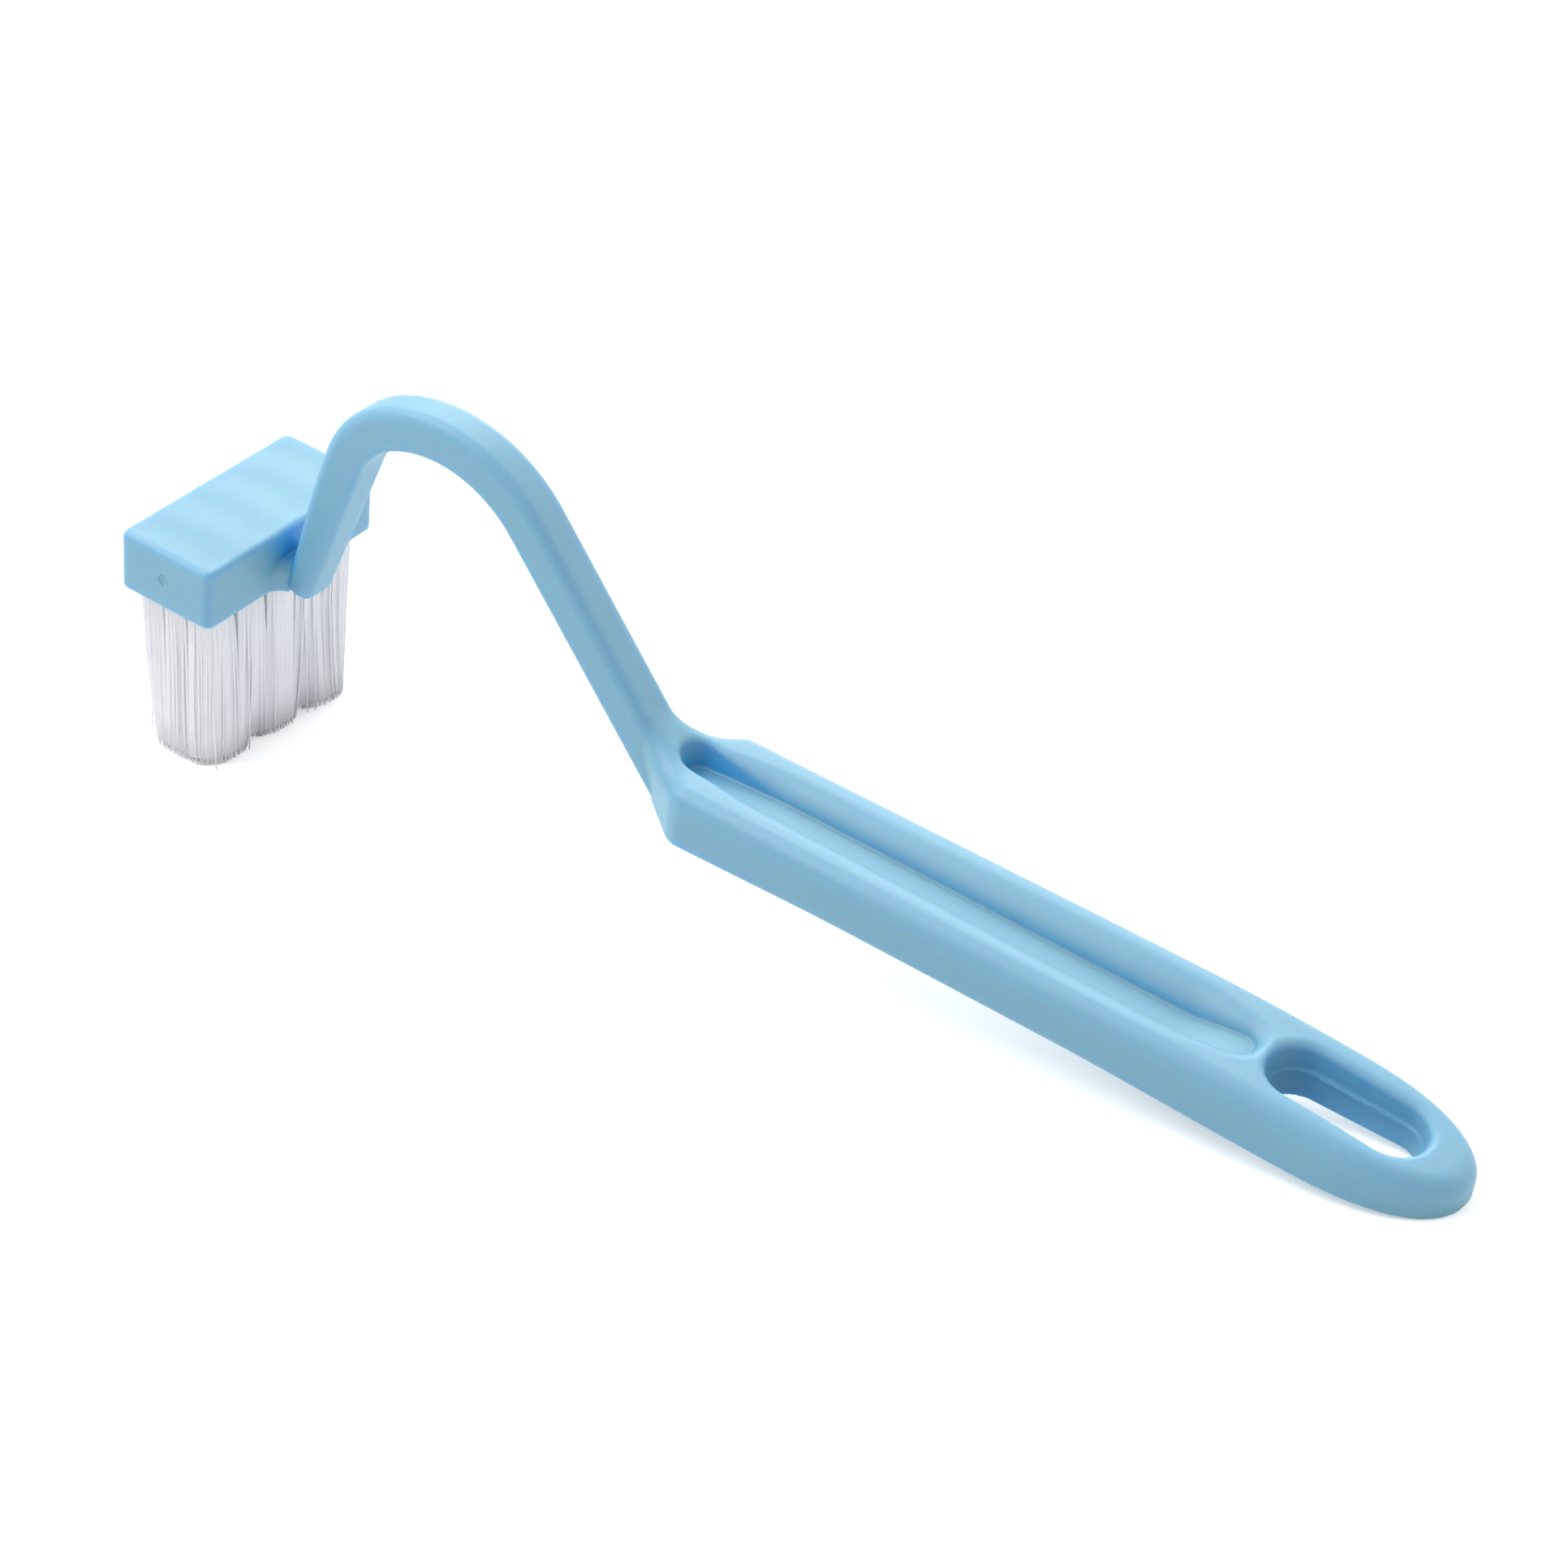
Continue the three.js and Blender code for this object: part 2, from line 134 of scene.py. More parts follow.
class GripSizes(bpy.types.PropertyGroup):
    """The flat handle"""

    overall: length("Overall length", "From the back of the head to the tip of the grip", 214.4)
    drop: length("Drop", "Top of the grip below the head's top", 3.9)
    thickness: length("Thickness", "Thickness of the grip", 9.2)
    start_width: length("Start width", "Width of the grip behind its shoulder", 18.9)
    end_width: length("End width", "Width of the grip where its end starts to round", 20.0)
    top_radius: length("Top radius", "Round of the upper long edges", 2.8)
    bottom_radius: length("Bottom radius", "Round of the lower long edges at the middle", 2.3)
    end_radius: length("End radius", "Round of the lower edges at both ends", 0.7)
    shoulder: length("Shoulder length", "Length of the sloping shoulder", 7.2)
    shoulder_radius: length("Shoulder radius", "Round of the shoulder's corner", 1.0)
    blend: length("Neck blend", "Hollow round between neck and grip", 5.0)
    end_round: length("End length", "Length of the rounded end", 19.4)
    end_power: number("End fullness", "Power of the rounded end's outline", 2.2)
    fall_start: length("Fall start", "Where the top starts to fall, before the tip", 48.0)
    fall_radius: length("Fall radius", "Radius of the falling top", 330.0)


class GrooveSizes(bpy.types.PropertyGroup):
    """The finger groove along the top of the grip"""

    setback: length("Setback", "Start of the groove's floor behind the start of the grip", 3.5)
    floor_width: length("Floor width", "Width of the groove's floor at its start", 4.4)
    end_width: length("End width", "Width of the groove's floor at its end", 5.0)
    depth: length("Depth", "Depth of the groove where it is deepest", 3.5)
    wall_lean: angle("Wall lean", "Lean of the groove's walls away from upright", 16.0)
    floor_radius: length("Floor radius", "Round of the floor's corners", 0.25)
    rim_radius: length("Rim radius", "Roll of the groove's long rims", 2.8)
    end_rim: length("End rim", "Roll of the rims where the floor starts to come up", 3.5)
    start_radius: length("Start radius", "Round of the rim at the groove's start", 0.7)
    start_length: length("Start length", "Length over which the rim grows to its full roll", 16.0)
    shallows: length("Shallows", "How far the floor comes up behind the groove's deep start", 0.6)
    ramp: length("Ramp", "Length over which the floor comes up", 12.0)
    end_depth: length("End depth", "Depth of the groove at its round end", 2.0)
    to_slot: length("To slot", "Land between the groove and the hang slot", 2.4)


class SlotSizes(bpy.types.PropertyGroup):
    """The hang slot"""

    width: length("Width", "Width of the slot at its top", 10.5)
    low_width: length("Low width", "Width of the slot at its bottom", 8.8)
    length: length("Length", "Length of the slot", 23.5)
    to_tip: length("To tip", "Wall between the slot and the tip", 7.1)
    rim_radius: length("Rim radius", "Round of the slot's upper rim", 1.2)
    low_radius: length("Low radius", "Round of the slot's lower rim", 0.35)
    seam_height: length("Seam height", "How far the parting seam stands out", 0.35)
    seam_width: length("Seam width", "Half width of the parting seam", 0.38)


class TuftSizes(bpy.types.PropertyGroup):
    """The bristle tufts and their holes"""

    rows: count("Rows", "Rows of tufts along the brush", 3)
    columns: count("Columns", "Tufts in a row", 5)
    row_pitch: length("Row pitch", "Distance between rows", 4.5)
    column_pitch: length("Column pitch", "Distance between tufts in a row", 7.15)
    hole_radius: length("Hole radius", "Radius of a tuft hole", 1.9)
    hole_depth: length("Hole depth", "Depth of a tuft hole", 6.6)
    hole_edge: length("Hole edge", "Round of a hole's edge", 0.2)
    root_radius: length("Root radius", "Radius of a tuft where it leaves its hole", 1.72)
    root_sink: length("Root sink", "How far filaments start inside their hole", 2.6)
    length: length("Length", "Length of the bristles below the head", 29.0)
    filaments: count("Filaments", "Loose filaments in a tuft", 96)
    filament_radius: length("Filament radius", "Radius of one filament", 0.15)
    spread_along: length("Spread along", "Half size of a tuft's tip along the brush", 2.4)
    spread_across: length("Spread across", "Half size of a tuft's tip across the brush", 3.7)
    gather: number("Gather", "Share of the distance between tufts that is left at their tips", 0.85)
    clumps: count("Clumps", "Clumps that the tips draw together into, across the brush", 3)
    clump_pitch: length("Clump pitch", "Distance between clumps", 10.2)
    clump_along: length("Clump along", "Half size of a clump along the brush", 6.9)
    clump_across: length("Clump across", "Half size of a clump across the brush", 5.6)
    clump_hold: number("Clump hold", "How closely filaments keep to their clump", 0.9)
    sweep: length("Sweep", "How far the bristles of the last clump lean to the grip", 2.4)
    strays: number("Strays", "Share of the filaments that stay out of the clumps", 0.04)
    bow: length("Bow", "Sideways bow of a filament", 0.3)
    core_share: number("Core share", "Packed core of a tuft, as a share of its radius", 0.98)
    core_flutes: count("Core flutes", "Filaments that show round the packed core", 22)
    trim_error: length("Trim error", "Unevenness of the trimmed tips", 0.3)
    seed: count("Seed", "Start of the random draws", 11)


class Finishes(bpy.types.PropertyGroup):
    """Colours of the materials"""

    plastic: colour("Plastic", "Light blue polypropylene", (0.174, 0.410, 0.542))
    plastic_deep: colour("Plastic, deep", "Darker cloud in the plastic", (0.162, 0.390, 0.520))
    # Painted shade: a darker, deeper blue that the plastic's material mixes into its colour where ambient
    # occlusion finds hollows.
    plastic_recess: colour("Plastic, painted shade", "Painted shade: darker, deeper blue in hollows", (0.005, 0.31, 0.65))
    nylon: colour("Nylon", "Clear white filament", (0.95, 0.95, 0.98))
    nylon_shade: colour("Nylon, shade", "Duller filament", (0.90, 0.89, 0.95))
    steel: colour("Steel", "Anchor wire", (0.60, 0.61, 0.63))


class StageSettings(bpy.types.PropertyGroup):
    """Floor, lamps and camera"""

    floor: colour("Floor", "Pale floor", (0.86, 0.86, 0.86))
    floor_glow: number("Floor glow", "White that the camera sees on the floor", 0.4)
    world: number("World", "Level of the light from all round", 0.59)
    front_power: number("Front lamp", "Power of the high lamp in front, in watts", 11.0)
    back_power: number("Back lamp", "Power of the low lamp behind, in watts", 8.5)
    side_power: number("Side lamp", "Power of the low lamp beside the grip, in watts", 3.4)
    lamp_size: FloatProperty(name="Lamp size", description="Width of each lamp", default=1.0, unit="LENGTH")
    lens: FloatProperty(name="Lens", description="Focal length", default=87.04, unit="CAMERA")


class BrushSettings(bpy.types.PropertyGroup):
    """All settings of the brush"""

    head: PointerProperty(type=HeadSizes)
    neck: PointerProperty(type=NeckSizes)
    grip: PointerProperty(type=GripSizes)
    groove: PointerProperty(type=GrooveSizes)
    slot: PointerProperty(type=SlotSizes)
    tufts: PointerProperty(type=TuftSizes)
    finishes: PointerProperty(type=Finishes)
    stage: PointerProperty(type=StageSettings)


def in_millimetres(group):
    """Copies a group of settings, with its lengths in millimetres."""
    values = {}
    for item in group.bl_rna.properties:
        if item.identifier in ("rna_type", "name"):
            continue
        value = getattr(group, item.identifier)
        values[item.identifier] = value / MM if getattr(item, "unit", "") == "LENGTH" else value
    return SimpleNamespace(**values)


# How the level brush lies on the floor

GRIP_MOUNT_X = 120.0


class Lie:
    """Turns places on the level brush, in millimetres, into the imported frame, in metres."""

    def __init__(self, underside):
        mount = next(m for m in frame["record"]["mounts"] if m["name"] == "grip_underside")
        down_x, _, down_z = mount["axis"]
        tilt = math.atan2(-down_x, -down_z)
        cosine = math.cos(tilt)
        sine = math.sin(tilt)
        self.turn = np.array([[cosine, 0.0, sine], [0.0, 1.0, 0.0], [-sine, 0.0, cosine]])
        on_mount = self.turn @ np.array([GRIP_MOUNT_X, 0.0, underside])
        self.shift = np.array(mount["pos_m"]) / MM - on_mount

    def to_frame(self, points):
        return (points @ self.turn.T + self.shift) * MM

    def floor_height(self, x):
        """Height of the floor under a place on the level brush."""
        return (x * self.turn[0, 2] - self.shift[2]) / self.turn[0, 0]


# Distances: below zero inside a shape, above zero outside it


def round_cut(a, b, radius):
    """What is inside both shapes, with a rounded edge where they meet."""
    inner = np.minimum(-radius, np.maximum(a, b))
    return inner + np.hypot(np.maximum(a + radius, 0.0), np.maximum(b + radius, 0.0))


def round_join(a, b, radius):
    """What is inside either shape, with a hollow round where they meet."""
    outer = np.maximum(radius, np.minimum(a, b))
    return outer - np.hypot(np.maximum(radius - a, 0.0), np.maximum(radius - b, 0.0))


def rounded_rectangle(u, v, half_u, half_v, radius):
    over_u = np.abs(u) - half_u + radius
    over_v = np.abs(v) - half_v + radius
    outside = np.hypot(np.maximum(over_u, 0.0), np.maximum(over_v, 0.0))
    return outside + np.minimum(np.maximum(over_u, over_v), 0.0) - radius


def ease(value, low, high):
    share = np.clip((value - low) / (high - low), 0.0, 1.0)
    return share * share * (3.0 - 2.0 * share)


class BodyShape:
    """The moulded body as one distance: head, neck, gusset and grip, less groove, slot and holes."""

    cut_past = 8.0
    crisp_height = 0.3
    crisp_top = 1.0
    least_blend = 0.01
    soft_start = 2.0
    soft_end = 3.0
    tiny = 1e-12

    def __init__(self, settings):
        for part in ("head", "neck", "grip", "groove", "slot", "tufts"):
            setattr(self, part, in_millimetres(getattr(settings, part)))
        self.front = self.head.depth / 2
        self.top = -self.grip.drop
        self.underside = self.top - self.grip.thickness
        self.tip = self.grip.overall - self.head.depth / 2
        self.lie = Lie(self.underside)
        self.lay_neck()
        self.slot_end = self.tip - self.slot.to_tip
        self.slot_start = self.slot_end - self.slot.length
        self.groove_end = self.slot_start - self.groove.to_slot
        self.groove_start = self.grip_start + self.groove.setback

    def lay_neck(self):
        """Works out the neck's middle line as two straight legs and two bends."""
        neck = self.neck
        heading = math.pi / 2 - neck.lean
        foot = np.array([self.front + neck.foot_setback, -self.head.height])
        ahead = np.array([math.cos(heading), math.sin(heading)])
        place = foot + neck.rise * ahead
        self.foot = foot
        self.foot_ahead = ahead
        self.legs = [(foot - self.cut_past * ahead, place)]
        self.bends = []
        second_turn = heading - neck.first_turn + neck.fall
        for radius, turn in ((neck.first_radius, neck.first_turn), (neck.second_radius, second_turn)):
            centre = place + radius * np.array([math.sin(heading), -math.cos(heading)])
            self.bends.append((centre, radius, heading + math.pi / 2 - turn, heading + math.pi / 2))
            heading -= turn
            place = centre + radius * np.array([-math.sin(heading), math.cos(heading)])
        ahead = np.array([math.cos(heading), math.sin(heading)])
        end_height = self.underside + neck.depth / 2 * math.cos(neck.fall)
        run = (place[1] - end_height) / math.sin(neck.fall)
        self.legs.append((place, place + (run + self.cut_past) * ahead))
        end = place + run * ahead
        self.grip_start = end[0] - neck.depth / 2 * math.sin(neck.fall)

    def head_part(self, x, y, z):
        head = self.head
        corner = np.where(x < 0.0, head.back_radius, head.corner_radius)
        side = rounded_rectangle(x, y, head.depth / 2, head.width / 2, corner)
        bowed = y + head.wave_arc * (2.0 * x / head.depth) ** 2
        wave = 0.5 - 0.5 * np.cos(2.0 * math.pi * head.wave_count * bowed / head.width)
        top = z + head.wave_depth * wave * ease(-side, 0.0, head.wave_border)
        block = round_cut(round_cut(side, top, head.edge_radius), -head.height - z, head.lower_radius)
        gate = np.hypot(x, z + head.height / 2) - head.gate_radius
        gate = np.maximum(gate, y + head.width / 2 - head.gate_depth)
        return round_cut(block, -gate, head.gate_depth / 2)

    def neck_part(self, x, y, z):
        """The neck's bar: its offset from the middle line is above zero over the arch."""
        neck = self.neck
        away = np.inf
        offset = 0.0
        for start, end in self.legs:
            along = end - start
            reach = math.hypot(*along)
            right = x - start[0]
            up = z - start[1]
            share = np.clip((right * along[0] + up * along[1]) / reach ** 2, 0.0, 1.0)
            gap = np.hypot(right - share * along[0], up - share * along[1])
            side = (up * along[0] - right * along[1]) / reach
            nearer = gap < away
            offset = np.where(nearer, np.where(side < 0.0, -gap, gap), offset)
            away = np.where(nearer, gap, away)
        for centre, radius, low, high in self.bends:
            right = x - centre[0]
            up = z - centre[1]
            turn = np.arctan2(up, right)
            side = np.hypot(right, up) - radius
            nearer = (turn >= low) & (turn <= high) & (np.abs(side) < away)
            offset = np.where(nearer, side, offset)
            away = np.where(nearer, np.abs(side), away)
        middle = (self.foot[0] + self.grip_start) / 2
        height = (x - self.foot[0]) * self.foot_ahead[0] + (z - self.foot[1]) * self.foot_ahead[1]
        thin = (neck.depth - neck.foot_depth) / 2 * (1.0 - ease(height, 0.0, neck.rise))
        thin = np.where(x < middle, thin, 0.0)
        lower = neck.foot_round + (neck.inner_radius - neck.foot_round) * ease(height, 0.0, neck.rise)
        radius = np.where(offset > 0.0, neck.outer_radius, np.where(x < middle, lower, neck.inner_radius))
        bar = rounded_rectangle(y, offset + thin, neck.width / 2, neck.depth / 2 - thin, radius)
        below = np.where(x < middle, -neck.foot_drop - height, self.underside - z)
        return round_cut(bar, below, np.where(x < middle, neck.foot_radius, self.grip.end_radius))

    def gusset_part(self, x, y, z):
        neck = self.neck
        leg = self.foot[0] + (z + self.head.height) * math.tan(neck.lean)
        strip = np.maximum(np.abs(y) - neck.width / 2 + neck.gusset_inset, x - leg)
        plan = round_join(x - self.front, strip, neck.gusset_radius)
        block = round_cut(plan, z + neck.gusset_drop, neck.gusset_edge)
        block = round_cut(block, -self.head.height - z, self.head.lower_radius)
        return np.maximum(block, np.maximum(np.abs(y) - neck.gusset_width / 2, -x))

    def grip_top(self, x):
        past = np.maximum(0.0, x - self.tip + self.grip.fall_start)
        return self.top - past ** 2 / (2.0 * self.grip.fall_radius)

    def grip_part(self, x, y, z):
        grip = self.grip
        across = np.abs(y)
        end = self.tip - grip.end_round
        shoulder_end = self.grip_start + grip.shoulder
        along = np.clip((x - shoulder_end) / (end - shoulder_end), 0.0, 1.0)
        half = (grip.start_width + (grip.end_width - grip.start_width) * along) / 2
        past = np.maximum(0.0, x - end) / grip.end_round
        wide = across / half
        level = (past ** grip.end_power + wide ** grip.end_power + self.tiny) ** (1.0 / grip.end_power)
        pull_x = (past / level) ** (grip.end_power - 1.0) / grip.end_round
        pull_y = (wide / level) ** (grip.end_power - 1.0) / half
        outline = (level - 1.0) / np.maximum(np.hypot(pull_x, pull_y), 1.0 / (2.0 * grip.start_width))
        slope_out = (grip.start_width - self.neck.width) / 2
        slope = np.hypot(grip.shoulder, slope_out)
        ahead = (across - self.neck.width / 2) * grip.shoulder - (x - self.grip_start) * slope_out
        outline = round_cut(outline, ahead / slope, grip.shoulder_radius)
        outline = round_cut(outline, -self.over_neck(x, z), grip.end_radius)
        block = round_cut(outline, z - self.grip_top(x), grip.top_radius)
        softer = ease(x, self.grip_start, self.grip_start + self.soft_start * grip.end_round)
        harder = ease(x, self.tip - self.soft_end * grip.end_round, self.tip - grip.end_round)
        softer = softer * (1.0 - harder)
        lower = grip.end_radius + (grip.bottom_radius - grip.end_radius) * softer
        block = round_cut(block, self.underside - z, lower)
        return round_cut(block, self.lie.floor_height(x) - z, grip.end_radius / 2)

    def over_neck(self, x, z):
        """Height above the slope of the neck's underside where it runs into the grip."""
        along = math.sin(self.neck.fall) * (x - self.grip_start)
        return along + math.cos(self.neck.fall) * (z - self.underside)

    def groove_depth(self, x):
        groove = self.groove
        risen = ease(x, self.groove_end - groove.ramp, self.groove_end)
        past_start = self.groove_start + groove.start_length
        shallow = ease(x, self.groove_start, past_start) - ease(x, past_start, self.groove_end - groove.ramp)
        return groove.depth - groove.shallows * shallow - (groove.depth - groove.end_depth) * risen

    def groove_part(self, x, y, z):
        groove = self.groove
        along = np.clip((x - self.groove_start) / (self.groove_end - self.groove_start), 0.0, 1.0)
        half = (groove.floor_width + (groove.end_width - groove.floor_width) * along) / 2
        middle = np.clip(x, self.groove_start + half, self.groove_end - half)
        floor = self.grip_top(x) - self.groove_depth(x)
        beyond = np.hypot(x - middle, y) - half
        wall = beyond * math.cos(groove.wall_lean) - (z - floor) * math.sin(groove.wall_lean)
        cut = round_cut(wall, floor - z, groove.floor_radius)
        return np.maximum(cut, z - self.top - 2.0 * groove.depth)

    def groove_rim(self, x):
        groove = self.groove
        grown = ease(x, self.groove_start, self.groove_start + groove.start_length)
        wider = ease(x, self.groove_start + groove.start_length, self.groove_end - groove.ramp)
        roll = groove.start_radius + (groove.rim_radius - groove.start_radius) * grown
        roll = roll + (groove.end_rim - groove.rim_radius) * wider
        risen = ease(x, self.groove_end - groove.ramp, self.groove_end)
        return roll * (1.0 - risen * (1.0 - groove.end_depth / groove.depth))

    def slot_part(self, x, y, z):
        slot = self.slot
        half = slot.width / 2
        centre = np.clip(x, self.slot_start + half, self.slot_end - half)
        top = self.grip_top(x)
        from_seam = z - (top + self.underside) / 2
        seam = slot.seam_height * np.exp(-((from_seam / slot.seam_width) ** 2))
        taper = (slot.width - slot.low_width) / 2 * (top - z) / self.grip.thickness
        return np.hypot(x - centre, y) - half + taper + seam

    def hole_part(self, x, y, z):
        tufts = self.tufts
        row_limit = (tufts.rows - 1) / 2
        column_limit = (tufts.columns - 1) / 2
        row = np.clip(np.round(x / tufts.row_pitch), -row_limit, row_limit)
        column = np.clip(np.round(y / tufts.column_pitch), -column_limit, column_limit)
        hole = np.hypot(x - row * tufts.row_pitch, y - column * tufts.column_pitch) - tufts.hole_radius
        return np.maximum(hole, z + self.head.height - tufts.hole_depth)

    def distance(self, x, y, z):
        neck = self.neck_part(x, y, z)
        clear = np.minimum(self.over_neck(x, z), z - self.underside)
        blend = self.grip.blend * ease(clear, self.crisp_height, self.grip.thickness - self.crisp_top)
        body = round_join(neck, self.grip_part(x, y, z), np.maximum(blend, self.least_blend))
        body = round_cut(body, -self.groove_part(x, y, z), self.groove_rim(x))
        rim = np.where(z > (self.top + self.underside) / 2, self.slot.rim_radius, self.slot.low_radius)
        body = round_cut(body, -self.slot_part(x, y, z), rim)
        body = np.minimum(body, self.gusset_part(x, y, z))
        body = np.minimum(body, self.head_part(x, y, z))
        return round_cut(body, -self.hole_part(x, y, z), self.tufts.hole_edge)


# Skin over a distance


def stations(*runs):
    """Places along an axis, from runs of (start, end, step)."""
    places = []
    for start, end, step in runs:
        steps = max(1, round((end - start) / step))
        places.extend(start + (end - start) * k / steps for k in range(steps))
    places.append(runs[-1][1])
    return np.array(places)


CELL_CORNERS = [(i, j, k) for i in (0, 1) for j in (0, 1) for k in (0, 1)]
SETTLE_ROUNDS = 3
LEAST_SLOPE = 0.25
LONGEST_STEP = 0.2


def skin(shape, xs, ys, zs):
    """Points and four-sided faces over the zero level of a shape, one point in each crossed cell."""
    field = shape.distance(xs[:, None, None], ys[None, :, None], zs[None, None, :]).astype(np.float32)
    inside = field < 0.0
    cells = tuple(size - 1 for size in field.shape)
    filled = np.zeros(cells, np.uint8)
    for i, j, k in CELL_CORNERS:
        filled += inside[i:i + cells[0], j:j + cells[1], k:k + cells[2]]
    crossed = (filled > 0) & (filled < len(CELL_CORNERS))
    place = np.full(cells, -1, np.int64)
    place[crossed] = np.arange(np.count_nonzero(crossed))
    cell = np.array(np.nonzero(crossed))
    points = np.zeros((cell.shape[1], 3))
    hits = np.zeros(cell.shape[1])
    axes = (xs, ys, zs)
    for start in CELL_CORNERS:
        for axis in range(3):
            if start[axis]:
                continue
            near = tuple(cell[n] + start[n] for n in range(3))
            far = tuple(near[n] + (n == axis) for n in range(3))
            low = field[near]
            high = field[far]
            hit = (low < 0.0) != (high < 0.0)
            share = np.where(hit, low / np.where(hit, low - high, 1.0), 0.0)
            for n in range(3):
                where = axes[n][near[n]]
                step = axes[n][far[n]] - where
                points[:, n] += np.where(hit, where + share * step, 0.0)
            hits += hit
    points /= hits[:, None]
    faces = []
    for axis in range(3):
        turned = np.moveaxis(inside, (axis, (axis + 1) % 3, (axis + 2) % 3), (0, 1, 2))
        index = np.moveaxis(place, (axis, (axis + 1) % 3, (axis + 2) % 3), (0, 1, 2))
        change = turned[:-1, 1:-1, 1:-1] != turned[1:, 1:-1, 1:-1]
        a, b, c = np.nonzero(change)
        quads = np.stack([index[a, b, c], index[a, b + 1, c], index[a, b + 1, c + 1], index[a, b, c + 1]], 1)
        leaving = turned[:-1, 1:-1, 1:-1][change]
        faces.append(np.where(leaving[:, None], quads, quads[:, ::-1]))
    return points, np.concatenate(faces)


def slope_at(shape, points, probe=0.01):
    """How a shape's distance grows along each axis."""
    steps = probe * np.eye(3)
    rises = [shape.distance(*(points + step).T) - shape.distance(*(points - step).T) for step in steps]
    return np.stack(rises, 1) / (2.0 * probe)


def settle(shape, points):
    """Moves points along the slope of the distance until they lie on the shape."""
    for _ in range(SETTLE_ROUNDS):
        slope = slope_at(shape, points)
        steep = np.maximum((slope ** 2).sum(1), LEAST_SLOPE)
        step = np.clip(shape.distance(*points.T) / steep, -LONGEST_STEP, LONGEST_STEP)
        points = points - step[:, None] * slope
    return points


def even_out(points, faces):
    """Moves each point half way to the middle of its neighbours."""
    ends = np.concatenate([faces, np.roll(faces, 1, 1)], 1).ravel()
    others = np.concatenate([np.roll(faces, 1, 1), faces], 1).ravel()
    total = np.stack([np.bincount(ends, points[others, n], len(points)) for n in range(3)], 1)
    meets = np.bincount(ends, minlength=len(points))
    return (points + total / meets[:, None]) / 2.0


# Objects


def new_piece(name, points, faces, material, nodes):
    """Makes a mesh piece that rides on the body, stands for CAD nodes and takes a slot's finish."""
    mesh = bpy.data.meshes.new(name)
    mesh.from_pydata(points.tolist(), [], faces)
    mesh.validate()
    mesh.shade_smooth()
    mesh.materials.append(material)
    piece = bpy.data.objects.new(name, mesh)
    bpy.context.scene.collection.objects.link(piece)
    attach(piece, BODY)
    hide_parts(*nodes)
    return piece


# Materials


def surface_variation():
    """Node group: a soft cloud and a fine grain over the surface, with the cloud drawn out along X."""
    name = "surface_variation"
    if name in bpy.data.node_groups:
        return bpy.data.node_groups[name]
    group = bpy.data.node_groups.new(name, "ShaderNodeTree")
    for socket, default in (("Cloud Scale", 60.0), ("Grain Scale", 2500.0), ("Stretch", 0.2)):
        made = group.interface.new_socket(socket, in_out="INPUT", socket_type="NodeSocketFloat")
        made.default_value = default
    for socket in ("Cloud", "Grain"):
        group.interface.new_socket(socket, in_out="OUTPUT", socket_type="NodeSocketFloat")
    nodes = group.nodes
    links = group.links
    given = nodes.new("NodeGroupInput")
    put_out = nodes.new("NodeGroupOutput")
    coordinates = nodes.new("ShaderNodeTexCoord")
    combine = nodes.new("ShaderNodeCombineXYZ")
    combine.inputs["Y"].default_value = 1.0
    combine.inputs["Z"].default_value = 1.0
    links.new(given.outputs["Stretch"], combine.inputs["X"])
    drawn = nodes.new("ShaderNodeVectorMath")
    drawn.operation = "MULTIPLY"
    links.new(coordinates.outputs["Object"], drawn.inputs[0])
    links.new(combine.outputs["Vector"], drawn.inputs[1])
    places = {"Cloud": drawn.outputs["Vector"], "Grain": coordinates.outputs["Object"]}
    for socket, detail in (("Cloud", 3.0), ("Grain", 2.0)):
        noise = nodes.new("ShaderNodeTexNoise")
        noise.inputs["Detail"].default_value = detail
        links.new(places[socket], noise.inputs["Vector"])
        links.new(given.outputs[f"{socket} Scale"], noise.inputs["Scale"])
        links.new(noise.outputs["Fac"], put_out.inputs[socket])
    return group


def shaded(name, light, dark, roughness, cloud_scale, grain_scale, stretch, bump_strength, bump_distance):
    """A Principled material whose colour and roughness drift with the cloud and whose bump is the grain."""
    material = bpy.data.materials.new(name)
    material.use_nodes = True
    nodes = material.node_tree.nodes
    links = material.node_tree.links
    shader = nodes["Principled BSDF"]
    variation = nodes.new("ShaderNodeGroup")
    variation.node_tree = surface_variation()
    variation.inputs["Cloud Scale"].default_value = cloud_scale
    variation.inputs["Grain Scale"].default_value = grain_scale
    variation.inputs["Stretch"].default_value = stretch
    tone = nodes.new("ShaderNodeMix")
    tone.data_type = "RGBA"
    tone.inputs["A"].default_value = (*dark, 1.0)
    tone.inputs["B"].default_value = (*light, 1.0)
    links.new(variation.outputs["Cloud"], tone.inputs["Factor"])
    links.new(tone.outputs["Result"], shader.inputs["Base Color"])
    gloss = nodes.new("ShaderNodeMapRange")
    gloss.inputs["To Min"].default_value = roughness[0]
    gloss.inputs["To Max"].default_value = roughness[1]
    links.new(variation.outputs["Cloud"], gloss.inputs["Value"])
    links.new(gloss.outputs["Result"], shader.inputs["Roughness"])
    bump = nodes.new("ShaderNodeBump")
    bump.inputs["Strength"].default_value = bump_strength
    bump.inputs["Distance"].default_value = bump_distance
    links.new(variation.outputs["Grain"], bump.inputs["Height"])
    links.new(bump.outputs["Normal"], shader.inputs["Normal"])
    return material, shader


# Reach, samples and occlusion range of the painted shade that darkens the plastic's hollows.
PAINTED_SHADE_REACH = 0.014
PAINTED_SHADE_SAMPLES = 4
PAINTED_SHADE_CLOSED = 0.38
PAINTED_SHADE_OPEN = 0.65


